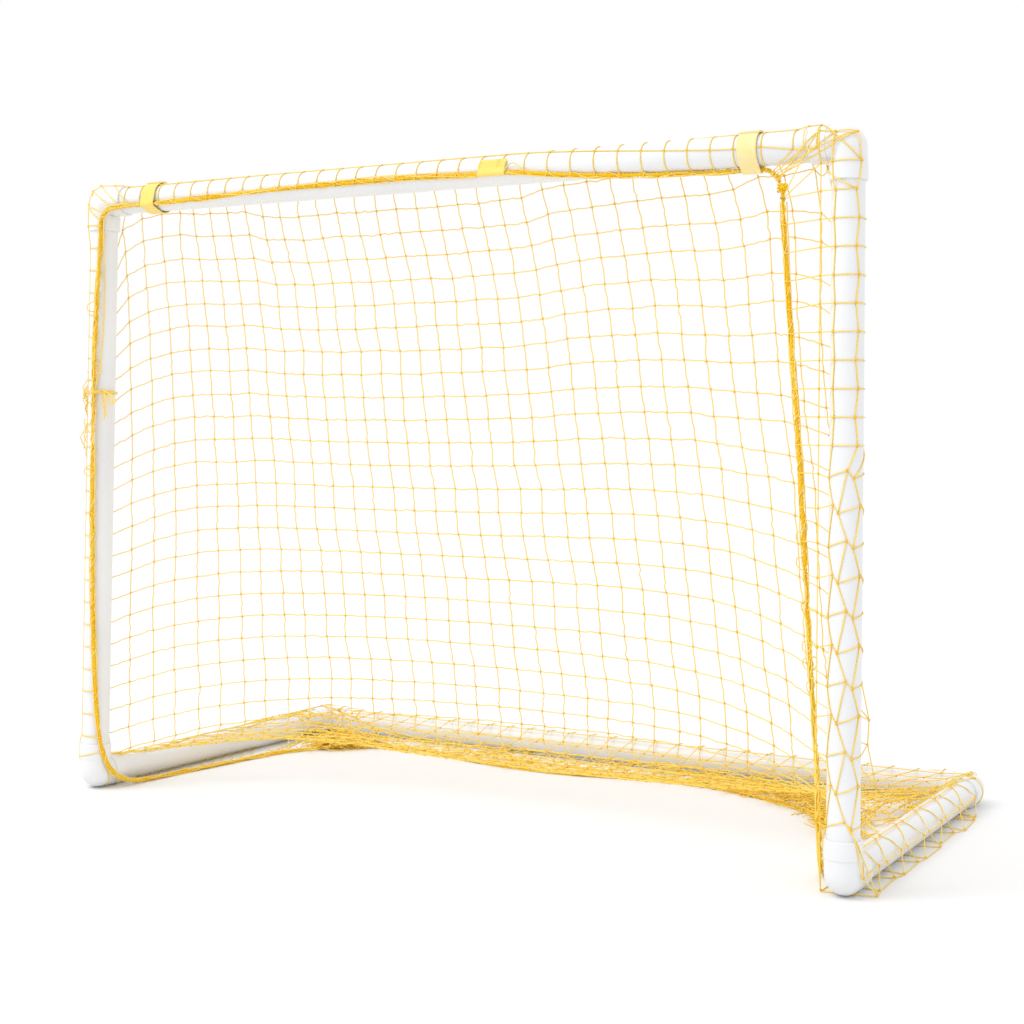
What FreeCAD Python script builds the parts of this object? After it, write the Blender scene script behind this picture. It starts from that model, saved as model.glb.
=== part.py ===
import FreeCAD, Part
import math
import os

# A youth soccer goal: six plastic tubes in six elbows, a hung net with a rope
# along its edge, two hook-and-loop straps and a tie that hold the net on.
# Millimetres, +Z up, +X to the right seen from in front, +Y to the back.
# Z is 0 on the ground, and X and Y are 0 at the middle of the whole goal.

V = FreeCAD.Vector

# Frame, from tube axis to tube axis
mouth_width = 1768.5
mouth_height = 1311.5
base_depth = 920.0

# Tube and elbows
tube_diameter = 60.3
tube_wall = 3.9
fitting_wall = 4.7
fitting_band_height = 1.3
fitting_leg = 68.0
socket_depth = 30.0
socket_clearance = 0.15
tube_end_gap = 0.3
heel_bend = 10.0
mouth_chamfer = 1.5

# Net
mesh = 50.8
twine_diameter = 2.3
net_thickness = 3.0
net_clearance = 0.3
bar_wrap_thickness = 2.5
curtain_lean = 16.0
curtain_bend = 250.0
bar_wrap_end_angle = 178.0
left_wrap_end_angle = 94.0
right_wrap_end_angle = 118.0
rear_wrap_end_angle = -58.0
gather_height = 38.0
gather_edge_radius = 12.0
gather_split = 335.0
gather_split_gap = 2.0
gather_end_gap = 4.0
left_hem_width = 84.0
right_hem_width = 60.0
hem_start_width = 36.0
hem_taper = 250.0
hem_thickness = 2.4
flap_thickness = 2.5
flap_foot_inset = 60.0
flap_foot_setback = 30.0
flap_top_inset = 112.0
flap_top_drop = 100.0

# Edge rope
rope_diameter = 7.5
rope_bar_gap = 1.1
rope_post_gap = 0.85
rope_floor_gap = 0.3
knot_radius = 11.5
knot_inset = 124.0
knot_drop = 72.0

# Straps, sewn tab and tie
strap_width = 38.0
strap_thickness = 1.8
strap_left_inset = 158.25
strap_right_inset = 183.25
strap_left_rope_angle = 208.0
strap_right_rope_angle = 270.0
strap_clearance = 0.35
strap_rope_clearance = 0.6
strap_tail_start = 62.0
strap_tail_end = 138.0
strap_side_clearance = 0.5
tab_x = 165.0
tab_width = 62.0
tab_top_angle = 148.0
tab_rope_angle = 196.0
tab_bar_gap = 0.6
tie_width = 4.0
tie_thickness = 2.4
tie_height = 905.0
tie_rope_angle = 14.0
bow_angle = 62.0
bow_lift = 7.2
bow_knot_radius = 4.4
bow_loop_radius = 11.0
bow_cord_radius = 1.7
bow_hang_angle = 20.0
bow_spread = 3.85
bow_tilts = (-35.0, 40.0)

# Worked out from the sizes above
tube_r = tube_diameter / 2
bore_r = tube_r - tube_wall
socket_r = tube_r + socket_clearance
fitting_r = socket_r + fitting_wall
body_r = fitting_r - fitting_band_height
rope_r = rope_diameter / 2
skin_r = fitting_r + net_clearance
skin_outer_r = skin_r + net_thickness
wrap_r = tube_r + net_clearance
wrap_outer_r = wrap_r + bar_wrap_thickness
strap_r = wrap_outer_r + strap_clearance
rope_sleeve_r = rope_r + net_clearance
rope_bar_radius = tube_r + rope_r + rope_bar_gap
rope_tab_radius = tube_r + rope_sleeve_r + strap_thickness + tab_bar_gap
rope_post_radius = fitting_r + rope_r + rope_post_gap
mesh_opening = mesh - twine_diameter
strap_travel = (mesh_opening - strap_width) / 2 - strap_side_clearance

left_x = -mouth_width / 2
right_x = mouth_width / 2
strap_left_x = left_x + strap_left_inset
strap_right_x = right_x - strap_right_inset
front_y = -base_depth / 2
rear_y = base_depth / 2
low_z = fitting_r
high_z = low_z + mouth_height
tube_start = fitting_leg - socket_depth + tube_end_gap


def save(node, shape):
    shape.exportStep("parts/" + node + ".step")


def tube(start, along, span):
    """A tube between two corners whose axes are span apart, seated in both sockets."""
    foot = start + along * tube_start
    length = span - 2 * tube_start
    outside = Part.makeCylinder(tube_r, length, foot, along)
    return outside.cut(Part.makeCylinder(bore_r, length, foot, along))


def bent_rod(radius):
    """A rod along +X and +Z from the corner, with a rounded heel."""
    leg = fitting_leg - heel_bend
    along_x = Part.makeCylinder(radius, leg, V(heel_bend, 0, 0), V(1, 0, 0))
    along_z = Part.makeCylinder(radius, leg, V(0, 0, heel_bend), V(0, 0, 1))
    disc = Part.Face(Part.Wire(Part.makeCircle(radius, V(heel_bend, 0, 0), V(1, 0, 0))))
    outer_side = Part.makeBox(2 * radius, 2 * radius, radius + heel_bend,
                              V(heel_bend - radius, -radius, -radius))
    heel = disc.common(outer_side).revolve(V(heel_bend, 0, heel_bend), V(0, 1, 0), 90)
    return along_x.fuse([along_z, heel])


def socket(along):
    """The wide end of an elbow, with a chamfered mouth."""
    length = socket_depth + net_thickness
    band = Part.makeCylinder(fitting_r, length - mouth_chamfer, along * (fitting_leg - length), along)
    lip = Part.makeCone(fitting_r, fitting_r - mouth_chamfer, mouth_chamfer,
                        along * (fitting_leg - mouth_chamfer), along)
    return band.fuse(lip)


def elbow(corner, leg_a, leg_b):
    """A 90 degree slip elbow at corner, open along leg_a and leg_b."""
    x, z = V(1, 0, 0), V(0, 0, 1)
    body = bent_rod(body_r).fuse([socket(x), socket(z)])
    hollow = bent_rod(bore_r)
    for along in (x, z):
        seat = Part.makeCylinder(socket_r, socket_depth, along * (fitting_leg - socket_depth), along)
        hollow = hollow.fuse(seat)
    shape = body.cut(hollow).removeSplitter()
    turn = FreeCAD.Rotation(leg_a, leg_b.cross(leg_a), leg_b, "XYZ")
    shape.Placement = FreeCAD.Placement(corner, turn)
    return shape


def polar(centre, across, up, radius, angle):
    """The point at angle, in degrees from across towards up, round centre."""
    a = math.radians(angle)
    return centre + across * (radius * math.cos(a)) + up * (radius * math.sin(a))


def sector(centre, across, up, inner, outer, start, end):
    """The face between two arcs round centre."""
    middle = (start + end) / 2
    inside = [polar(centre, across, up, inner, a) for a in (start, middle, end)]
    outside = [polar(centre, across, up, outer, a) for a in (start, middle, end)]
    edges = [
        Part.Arc(*inside).toShape(),
        Part.makeLine(inside[2], outside[2]),
        Part.Arc(*outside[::-1]).toShape(),
        Part.makeLine(outside[0], inside[0]),
    ]
    return Part.Face(Part.Wire(edges))


def polygon(points):
    return Part.Face(Part.makePolygon(points + points[:1]))


def loop_face(centre, across, up, big_r, bump_distance, bump_r, bump_angle):
    """The face of a tight loop round a circle and a small circle that lies against it."""
    bump = polar(centre, across, up, bump_distance, bump_angle)
    touch = math.degrees(math.acos((big_r - bump_r) / bump_distance))
    first, last = bump_angle + touch, bump_angle - touch
    a = polar(centre, across, up, big_r, first)
    b = polar(centre, across, up, big_r, last)
    c = polar(bump, across, up, bump_r, last)
    d = polar(bump, across, up, bump_r, first)
    edges = [
        Part.Arc(a, polar(centre, across, up, big_r, bump_angle + 180), b).toShape(),
        Part.makeLine(b, c),
        Part.Arc(c, polar(bump, across, up, bump_r, bump_angle), d).toShape(),
        Part.makeLine(d, a),
    ]
    return Part.Face(Part.Wire(edges))


def cord(points, diameter):
    """A tube along straight runs joined by tangent arcs. Returns it with its length and arc radii."""
    runs = [b - a for a, b in zip(points, points[1:])]
    edges, radii = [], []
    here = points[0]
    for i in range(1, len(points) - 1):
        before = V(runs[i - 1]).normalize()
        after = V(runs[i]).normalize()
        turn = before.getAngle(after)
        reach = 0.45 * min(runs[i - 1].Length, runs[i].Length)
        radius = reach / math.tan(turn / 2)
        enter = points[i] - before * reach
        leave = points[i] + after * reach
        inward = (after - before).normalize()
        depth = radius / math.cos(turn / 2) - radius
        edges.append(Part.makeLine(here, enter))
        edges.append(Part.Arc(enter, points[i] + inward * depth, leave).toShape())
        radii.append(radius)
        here = leave
    edges.append(Part.makeLine(here, points[-1]))
    path = Part.Wire(edges)
    ring = Part.Wire(Part.makeCircle(diameter / 2, points[0], runs[0]))
    return path.makePipeShell([ring], True, False, 2), path.Length, radii


# Tubes and elbows

X, Y, Z = V(1, 0, 0), V(0, 1, 0), V(0, 0, 1)
top_left = V(left_x, front_y, high_z)
top_right = V(right_x, front_y, high_z)
front_left = V(left_x, front_y, low_z)
front_right = V(right_x, front_y, low_z)
rear_left = V(left_x, rear_y, low_z)
rear_right = V(right_x, rear_y, low_z)

solids = {
    "crossbar_tube": tube(top_left, X, mouth_width),
    "left_post_tube": tube(front_left, Z, mouth_height),
    "right_post_tube": tube(front_right, Z, mouth_height),
    "left_base_tube": tube(front_left, Y, base_depth),
    "right_base_tube": tube(front_right, Y, base_depth),
    "rear_base_tube": tube(rear_left, X, mouth_width),
    "top_left_elbow": elbow(top_left, X, -Z),
    "top_right_elbow": elbow(top_right, -X, -Z),
    "front_left_elbow": elbow(front_left, Y, Z),
    "front_right_elbow": elbow(front_right, Y, Z),
    "rear_left_elbow": elbow(rear_left, X, -Y),
    "rear_right_elbow": elbow(rear_right, -X, -Y),
}

# Net. It hangs from the crossbar as a curtain that leans back, bends near the
# ground and runs back over the rear tube. Its sides pass outside the posts.

lean = math.radians(curtain_lean)
fall_along = Y * math.sin(lean) - Z * math.cos(lean)
fall_normal = Y * math.cos(lean) + Z * math.sin(lean)
curtain_top = V(0, front_y, high_z) + fall_normal * skin_r
curtain_rear = V(0, rear_y, low_z + skin_r)
fall_length = (curtain_top.z - curtain_rear.z) / math.cos(lean)
curtain_corner = curtain_top + fall_along * fall_length
bend_reach = curtain_bend * math.tan((math.pi / 2 - lean) / 2)
bend_centre = curtain_corner - fall_along * bend_reach + fall_normal * curtain_bend


def curtain_points(lift):
    """The curtain's line from the crossbar to the rear tube, lifted off its inner side."""
    bend_mid = (fall_normal + Z).normalize()
    return [
        curtain_top + fall_normal * lift,
        bend_centre - fall_normal * (curtain_bend - lift),
        bend_centre - bend_mid * (curtain_bend - lift),
        bend_centre - Z * (curtain_bend - lift),
        curtain_rear + Z * lift,
    ]


def curtain_edges(lift):
    top, enter, middle, leave, rear = curtain_points(lift)
    return [Part.makeLine(top, enter), Part.Arc(enter, middle, leave).toShape(), Part.makeLine(leave, rear)]


def curtain():
    inner, outer = curtain_edges(0), curtain_edges(net_thickness)
    ends = [Part.makeLine(curtain_points(0)[i], curtain_points(net_thickness)[i]) for i in (0, 4)]
    face = Part.Face(Part.Wire(Part.__sortEdges__(inner + outer + ends)))
    face.translate(X * (left_x - skin_r))
    panel = face.extrude(X * (mouth_width + 2 * skin_r))
    for x in (strap_left_x, strap_right_x):
        window = Part.makeBox(mesh_opening, 4 * fitting_r, mesh_opening)
        window.translate(V(x - mesh_opening / 2, front_y, curtain_top.z - mesh_opening + net_thickness))
        panel = panel.cut(window)
    return panel


def side_panel(x):
    """The flat side of the net, from the post's outside back to the curtain's line."""
    top, enter, middle, leave, rear = curtain_points(net_thickness)
    bottom_z = net_clearance
    corners = [rear, V(0, rear_y, bottom_z), V(0, front_y, bottom_z), V(0, front_y, top.z), top]
    edges = [Part.makeLine(top, enter), Part.Arc(enter, middle, leave).toShape(), Part.makeLine(leave, rear)]
    edges += [Part.makeLine(a, b) for a, b in zip(corners, corners[1:])]
    face = Part.Face(Part.Wire(edges))
    face.translate(X * x)
    return face.extrude(X * net_thickness)


def crossbar_wrap():
    start_x = left_x + fitting_leg + net_clearance
    face = sector(V(start_x, front_y, high_z), Y, Z, wrap_r, wrap_outer_r, curtain_lean, bar_wrap_end_angle)
    return face.extrude(X * (mouth_width - 2 * (fitting_leg + net_clearance)))


def post_wrap(post_x, outward, end_angle):
    """The net round the outside and front of a post. outward is -1 on the left and 1 on the right."""
    foot = V(post_x, front_y, net_clearance)
    face = sector(foot, X * outward, -Y, skin_r, skin_outer_r, 0, end_angle)
    return face.extrude(Z * (high_z - skin_outer_r - net_clearance))


def rear_wrap():
    face = sector(V(left_x - skin_r, rear_y, low_z), Y, Z, skin_r, skin_outer_r,
                  rear_wrap_end_angle, 90)
    return face.extrude(X * (mouth_width + 2 * skin_r))


def hem(post_x, inward, width):
    """A strip of net on the ground under a base tube. inward is 1 on the left and -1 on the right."""
    outer_x = post_x - inward * skin_r
    narrow_x = post_x + inward * hem_start_width
    wide_x = post_x + inward * width
    start_y = front_y + fitting_leg
    end_y = rear_y - fitting_leg
    outline = [(outer_x, start_y), (narrow_x, start_y), (wide_x, end_y - hem_taper),
               (wide_x, end_y), (outer_x, end_y)]
    face = polygon([V(x, y, net_clearance) for x, y in outline])
    return face.extrude(Z * hem_thickness)


gather_back = tube_r + net_clearance


def gather(outline):
    """Slack net in a low heap on the ground, round-edged but for its flat back against the rear tube.
    Its points are x and the distance before the rear tube's axis."""
    heap = polygon([V(x, rear_y - reach, net_clearance) for x, reach in outline]).extrude(Z * gather_height)
    flat_y = rear_y - gather_back
    top = [e for e in heap.Edges if e.BoundBox.ZMin > gather_height and e.BoundBox.YMin < flat_y - 1]
    return heap.makeFillet(gather_edge_radius, top)


def front_flap():
    """The net between the right post's front and the rope that hangs beside it."""
    radii = (skin_r, skin_r + flap_thickness)
    post_side = [polar(front_right, X, -Y, radius, right_wrap_end_angle) for radius in radii]
    foot = (right_x - flap_foot_inset, front_y + flap_foot_setback, low_z + fitting_leg + net_clearance)
    top = (right_x - flap_top_inset, front_y, high_z - flap_top_drop)
    sections = []
    for rope_x, rope_y, z in (foot, top):
        tips = [V(rope_x, rope_y - rope_r - side, z) for side in (net_clearance, flap_thickness)]
        feet = [V(p.x, p.y, z) for p in post_side]
        sections.append(Part.makePolygon([feet[0], feet[1], tips[1], tips[0], feet[0]]))
    return Part.makeLoft(sections, True, True)


solids["net_back"] = curtain()
tie_window = Part.makeBox(fitting_r, mesh_opening, mesh_opening,
                          V(left_x - 2 * fitting_r, front_y + twine_diameter, tie_height - mesh_opening / 2))
solids["net_left_side"] = side_panel(left_x - skin_outer_r).cut(tie_window)
solids["net_right_side"] = side_panel(right_x + skin_r)
solids["net_crossbar_wrap"] = crossbar_wrap()
solids["net_left_post_wrap"] = post_wrap(left_x, -1, left_wrap_end_angle)
solids["net_right_post_wrap"] = post_wrap(right_x, 1, right_wrap_end_angle)
solids["net_rear_wrap"] = rear_wrap()
solids["net_front_flap"] = front_flap()
solids["net_left_hem"] = hem(left_x, 1, left_hem_width)
solids["net_right_hem"] = hem(right_x, -1, right_hem_width)

split_x = right_x - gather_split
gather_end_x = right_x - fitting_leg - gather_end_gap
solids["net_rear_gather"] = gather([
    (left_x + 184, gather_back), (left_x + 244, 120), (left_x + 314, 94), (left_x + 514, 128),
    (-150, 170), (-40, 170), (right_x - 704, 120), (right_x - 594, 117),
    (right_x - 484, 148), (split_x - gather_split_gap, 208), (split_x - gather_split_gap, gather_back)])
solids["net_right_gather"] = gather([
    (split_x, gather_back), (split_x, 208), (right_x - 194, 320), (right_x - 144, 420),
    (right_x - 94, 450), (right_x - 62, 95), (gather_end_x, gather_back)])

# Edge rope. It starts at a knot beside the right strap, follows the crossbar,
# the left post, the ground inside the base, and hangs beside the right post.

bar_axis = V(0, front_y, high_z)
floor_z = rope_r + rope_floor_gap
knot_centre = V(right_x - knot_inset, front_y, high_z - knot_drop)


def on_bar(x, angle, radius=rope_bar_radius):
    return polar(bar_axis, Y, Z, radius, angle) + X * x


def on_post(z, angle):
    return polar(V(left_x, front_y, z), -Y, X, rope_post_radius, angle)


def on_ground(x, y):
    return V(x, front_y + y, floor_z)


def in_mouth(x, y, z):
    return V(x, front_y + y, z)


rope_points = [
    V(754, front_y, high_z - 62),
    on_bar(743, strap_right_rope_angle), on_bar(670, strap_right_rope_angle),
    on_bar(590, 261), on_bar(490, 247), on_bar(390, 231), on_bar(295, 214),
    on_bar(216, tab_rope_angle, rope_tab_radius), on_bar(118, tab_rope_angle, rope_tab_radius),
    on_bar(20, 189), on_bar(-120, 188), on_bar(-270, 189), on_bar(-420, 193), on_bar(-560, 201),
    on_bar(-670, strap_left_rope_angle), on_bar(-764, strap_left_rope_angle),
    on_bar(-812, 206, 40.2), V(-846, front_y - 38.5, high_z - 24), V(-862, front_y - 38.0, high_z - 50),
    on_post(high_z - 96, 29), on_post(high_z - 210, 24), on_post(high_z - 340, 15),
    on_post(high_z - 480, 14), on_post(high_z - 640, 16), on_post(high_z - 800, 20),
    on_post(high_z - 950, 26), on_post(high_z - 1080, 34), on_post(high_z - 1190, 46),
    V(-845, front_y - 15, 70), V(-838, front_y + 20, 26), V(-833, front_y + 70, floor_z + 3),
    on_ground(-829, 140), on_ground(-822, 240), on_ground(-810, 340), on_ground(-799, 450),
    on_ground(-782, 555), on_ground(-752, 640), on_ground(-706, 704), on_ground(-642, 752),
    on_ground(-566, 784), on_ground(-470, 778), on_ground(-370, 750), on_ground(-260, 722),
    on_ground(-150, 710), on_ground(-40, 712), on_ground(70, 738), on_ground(180, 762),
    on_ground(290, 764), on_ground(400, 734), on_ground(500, 690), on_ground(586, 638),
    on_ground(652, 572), on_ground(700, 486), on_ground(738, 396), on_ground(768, 302),
    on_ground(790, 208), on_ground(806, 132),
    in_mouth(815, 84, 24), in_mouth(819, 62, 70), in_mouth(820, 54, 140),
    in_mouth(817, 46, 240), in_mouth(812, 39, 350), in_mouth(806, 32, 470), in_mouth(799, 25, 600),
    in_mouth(794, 19, 724), in_mouth(786, 13, 856), in_mouth(778, 8, 978), in_mouth(770, 4, 1090),
    in_mouth(763, 1, 1190), V(760, front_y, high_z - 83),
]
rope, rope_length, rope_radii = cord(rope_points, rope_diameter)
solids["edge_rope"] = rope
knot = Part.makeSphere(knot_radius, knot_centre)
solids["rope_knot"] = knot.cut(rope)

# Straps. Each is a closed band round the crossbar, the net's wrap and the rope,
# passing through one mesh of the curtain, and it slides along the bar within that mesh.


def strap(x, rope_angle):
    start = V(x - strap_width / 2, front_y, high_z)
    bump_r = rope_r + strap_rope_clearance
    inside = loop_face(start, Y, Z, strap_r, rope_bar_radius, bump_r, rope_angle)
    outside = loop_face(start, Y, Z, strap_r + strap_thickness, rope_bar_radius,
                        bump_r + strap_thickness, rope_angle)
    lap_r = strap_r + strap_thickness
    lap = sector(start, Y, Z, lap_r, lap_r + strap_thickness, strap_tail_start, strap_tail_end)
    band = outside.extrude(X * strap_width).cut(inside.extrude(X * strap_width))
    return band.fuse(lap.extrude(X * strap_width)).removeSplitter()


def tab():
    """A short piece of webbing sewn round the rope, with its flap up the front of the bar."""
    start = V(tab_x - tab_width / 2, front_y, high_z)
    rope_centre = polar(start, Y, Z, rope_tab_radius, tab_rope_angle)
    sleeve = Part.makeCylinder(rope_sleeve_r + strap_thickness, tab_width, rope_centre, X)
    flap = sector(start, Y, Z, strap_r, strap_r + strap_thickness, tab_top_angle, tab_rope_angle - 4)
    body = sleeve.fuse(flap.extrude(X * tab_width))
    return body.cut(Part.makeCylinder(rope_sleeve_r, tab_width, rope_centre, X)).removeSplitter()


def post_tie():
    """A thin cord round the left post and the rope."""
    centre = V(left_x, front_y, tie_height)
    big_r = skin_outer_r + net_clearance
    bump_r = rope_r + strap_rope_clearance
    inside = loop_face(centre, -Y, X, big_r, rope_post_radius, bump_r, tie_rope_angle)
    outside = loop_face(centre, -Y, X, big_r + tie_thickness, rope_post_radius,
                        bump_r + tie_thickness, tie_rope_angle)
    return outside.extrude(Z * tie_width).cut(inside.extrude(Z * tie_width))


def bow(band):
    """The tie's knot and its two loops, inside the post."""
    seat = polar(V(left_x, front_y, tie_height), -Y, X, skin_outer_r + bow_lift, bow_angle)
    shape = Part.makeSphere(bow_knot_radius, seat)
    hang = V(math.cos(math.radians(bow_hang_angle)), 0, -1).normalize()
    for tilt in bow_tilts:
        side = FreeCAD.Rotation(hang, tilt).multVec(Y)
        centre = seat + hang * (bow_loop_radius + bow_cord_radius) + side * bow_spread
        shape = shape.fuse(Part.makeTorus(bow_loop_radius, bow_cord_radius, centre, side.cross(hang)))
    return shape.cut(band)


solids["left_strap"] = strap(strap_left_x, strap_left_rope_angle)
solids["right_strap"] = strap(strap_right_x, strap_right_rope_angle)
solids["rope_tab"] = tab()
solids["left_post_tie"] = post_tie()
solids["left_tie_bow"] = bow(solids["left_post_tie"])

os.makedirs("parts", exist_ok=True)
for node, shape in solids.items():
    save(node, shape)

print("rope length", round(rope_length, 1), "volume share",
      round(rope.Volume / (math.pi * rope_r ** 2 * rope_length), 4))
print("rope radii", [round(r) for r in rope_radii])
print("strap travel each way", round(strap_travel, 2))
box = Part.makeCompound(list(solids.values())).BoundBox
print("box", [round(v, 2) for v in (box.XMin, box.XMax, box.YMin, box.YMax, box.ZMin, box.ZMax)])
for node, shape in solids.items():
    print(node, len(shape.Solids), shape.isValid(), round(shape.Volume / 1000, 1))
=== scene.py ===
"""A garden-size soccer goal: a frame of white plastic pipe, a knotted net and its edge rope."""
import math

import bpy
import numpy as np
from mathutils import Matrix, Vector


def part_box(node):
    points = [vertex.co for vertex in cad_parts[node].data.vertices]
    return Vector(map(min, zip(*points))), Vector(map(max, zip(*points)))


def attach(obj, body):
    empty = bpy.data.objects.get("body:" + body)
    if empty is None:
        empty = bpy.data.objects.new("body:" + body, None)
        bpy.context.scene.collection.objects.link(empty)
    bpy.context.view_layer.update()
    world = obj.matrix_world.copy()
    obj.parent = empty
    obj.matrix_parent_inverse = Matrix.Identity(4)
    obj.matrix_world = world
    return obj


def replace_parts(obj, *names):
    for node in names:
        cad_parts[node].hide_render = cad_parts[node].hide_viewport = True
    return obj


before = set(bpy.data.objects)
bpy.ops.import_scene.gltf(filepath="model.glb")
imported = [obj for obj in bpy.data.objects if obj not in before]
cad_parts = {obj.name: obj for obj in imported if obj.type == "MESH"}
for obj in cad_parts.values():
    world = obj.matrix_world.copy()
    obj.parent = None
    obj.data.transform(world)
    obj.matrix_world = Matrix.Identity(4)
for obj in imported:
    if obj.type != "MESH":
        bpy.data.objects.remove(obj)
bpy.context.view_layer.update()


# Camera. It stands before the mouth and to its right, 0.8 m up and nearly level. Its view
# is shifted down, which keeps the posts upright.

heading, pitch, roll = (math.radians(angle) for angle in (-29.09, 1.19, 0.71))
forward = Vector((math.sin(heading) * math.cos(pitch), math.cos(heading) * math.cos(pitch), math.sin(pitch)))
level = Vector((math.cos(heading), -math.sin(heading), 0))
upright = level.cross(forward)
camera_axes = Matrix((
    level * math.cos(roll) + upright * math.sin(roll),
    upright * math.cos(roll) - level * math.sin(roll),
    -forward,
)).transposed()


def add_to_scene(name, data):
    thing = bpy.data.objects.new(name, data)
    bpy.context.scene.collection.objects.link(thing)
    return thing


camera = add_to_scene("camera", bpy.data.cameras.new("camera"))
camera.data.sensor_width = 36
camera.data.lens = 58.6
camera.data.shift_y = -0.0977
camera.matrix_world = Matrix.Translation((1.811, -3.358, 0.794)) @ camera_axes.to_4x4()
bpy.context.scene.camera = camera


# Edge rope. A laid polyester rope of three strands that borders the net: it starts at the
# knot beside the right strap, follows the crossbar, the left post and the ground inside
# the base, and hangs beside the right post back to the knot.

rope_length = 6.85
strand_radius = 0.00205
strand_offset = 0.00178
strand_lay = 0.026
rope_step = 0.0026


def middle(node):
    low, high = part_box(node)
    return [(a + b) / 2 for a, b in zip(low, high)]


front_y, bar_z = middle("crossbar_tube")[1:]
rear_y, base_z = middle("rear_base_tube")[1:]
left_x, right_x = middle("left_post_tube")[0], middle("right_post_tube")[0]


def bearing(angle):
    """The cosine and the sine of an angle in degrees."""
    turn = math.radians(angle)
    return np.array((math.cos(turn), math.sin(turn)))


def on_bar(x, angle, radius=0.035):
    """A place beside the crossbar. Angle 0 is behind it and 90 is above it."""
    out = radius * bearing(angle)
    return x, front_y + out[0], bar_z + out[1]


def on_post(drop, angle, radius=0.0396):
    """A place beside the left post. Angle 0 is before it and 90 is on its side to the mouth."""
    out = radius * bearing(angle)
    return left_x + out[1], front_y - out[0], bar_z - drop


def in_mouth(x, y, z):
    """A place y behind the front posts."""
    return x, front_y + y, z


rope_height = 0.00405
rope_route = [
    in_mouth(0.754, 0, bar_z - 0.062),
    *(on_bar(*place) for place in (
        (0.743, 270), (0.670, 270), (0.590, 261), (0.490, 247), (0.390, 231), (0.295, 214),
        (0.216, 196, 0.0366), (0.118, 196, 0.0366), (0.020, 189), (-0.120, 188), (-0.270, 189),
        (-0.420, 193), (-0.560, 201), (-0.670, 208), (-0.764, 208), (-0.812, 206, 0.0402))),
    in_mouth(-0.846, -0.0385, bar_z - 0.024), in_mouth(-0.862, -0.038, bar_z - 0.050),
    *(on_post(*place) for place in (
        (0.096, 29), (0.210, 24), (0.340, 15), (0.480, 14), (0.640, 16), (0.800, 20), (0.950, 26),
        (1.080, 34), (1.190, 46))),
    in_mouth(-0.845, -0.015, 0.070), in_mouth(-0.838, 0.020, 0.026), in_mouth(-0.833, 0.070, 0.00705),
    *(in_mouth(x, y, rope_height) for x, y in (
        (-0.829, 0.140), (-0.822, 0.240), (-0.810, 0.340), (-0.799, 0.450), (-0.782, 0.555),
        (-0.752, 0.640), (-0.706, 0.704), (-0.642, 0.752), (-0.566, 0.784), (-0.470, 0.778),
        (-0.370, 0.750), (-0.260, 0.722), (-0.150, 0.710), (-0.040, 0.712), (0.070, 0.738),
        (0.180, 0.762), (0.290, 0.764), (0.400, 0.734), (0.500, 0.690), (0.586, 0.638),
        (0.652, 0.572), (0.700, 0.486), (0.738, 0.396), (0.768, 0.302), (0.790, 0.208),
        (0.806, 0.132))),
    *(in_mouth(*place) for place in (
        (0.815, 0.084, 0.024), (0.819, 0.062, 0.070), (0.820, 0.054, 0.140), (0.817, 0.046, 0.240),
        (0.812, 0.039, 0.350), (0.806, 0.032, 0.470), (0.799, 0.025, 0.600), (0.794, 0.019, 0.724),
        (0.786, 0.013, 0.856), (0.778, 0.008, 0.978), (0.770, 0.004, 1.090), (0.763, 0.001, 1.190),
        (0.760, 0, bar_z - 0.083))),
]
top_left_corner, rear_left_corner, rear_right_corner = 18, 37, 50


def smooth_line(points):
    """Points along the NURBS spline that these control points make."""
    curve = bpy.data.curves.new("line", "CURVE")
    curve.dimensions = "3D"
    curve.resolution_u = 16
    spline = curve.splines.new("NURBS")
    spline.points.add(len(points) - 1)
    for point, place in zip(spline.points, points):
        point.co = (*place, 1)
    spline.order_u = 3
    spline.use_endpoint_u = True
    line = bpy.data.objects.new("line", curve)
    mesh = bpy.data.meshes.new_from_object(line)
    path = np.array([vertex.co[:] for vertex in mesh.vertices])
    bpy.data.objects.remove(line)
    bpy.data.curves.remove(curve)
    bpy.data.meshes.remove(mesh)
    return path


def spaced(path, count):
    """The same line with count points at equal distances."""
    travelled = np.r_[0, np.cumsum(np.linalg.norm(np.diff(path, axis=0), axis=1))]
    steps = np.linspace(0, travelled[-1], count)
    return np.array([np.interp(steps, travelled, path[:, axis]) for axis in range(path.shape[1])]).T


def unit(vectors):
    return vectors / np.maximum(np.linalg.norm(vectors, axis=-1, keepdims=True), 1e-9)


def dot(a, b):
    return (a * b).sum(-1, keepdims=True)


def crossways(paths):
    """Two directions across each path, which turn with it and don't twist."""
    ahead = unit(np.gradient(paths, axis=1))
    side = np.eye(3)[np.abs(ahead[:, 0]).argmin(1)]
    sides = np.empty_like(paths)
    for step in range(paths.shape[1]):
        side = unit(side - dot(side, ahead[:, step]) * ahead[:, step])
        sides[:, step] = side
    return sides, np.cross(ahead, sides)


def wound_round(line, turns, distance):
    """The path of a cord that winds round a line, at this distance from it."""
    across, over = crossways(line[None])
    turns = turns[None, :, None]
    return line + distance * (across * np.cos(turns) + over * np.sin(turns))


def skin(corners, closed=False):
    """Faces of tubes, from their corners' numbers as an array of tubes by steps by sides."""
    here, there = (corners, np.roll(corners, -1, 1)) if closed else (corners[:, :-1], corners[:, 1:])
    walls = np.stack([here, np.roll(here, -1, 2), np.roll(there, -1, 2), there], -1).reshape(-1, 4)
    ends = [] if closed else corners[:, 0, ::-1].tolist() + corners[:, -1].tolist()
    return walls.tolist() + ends


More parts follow.
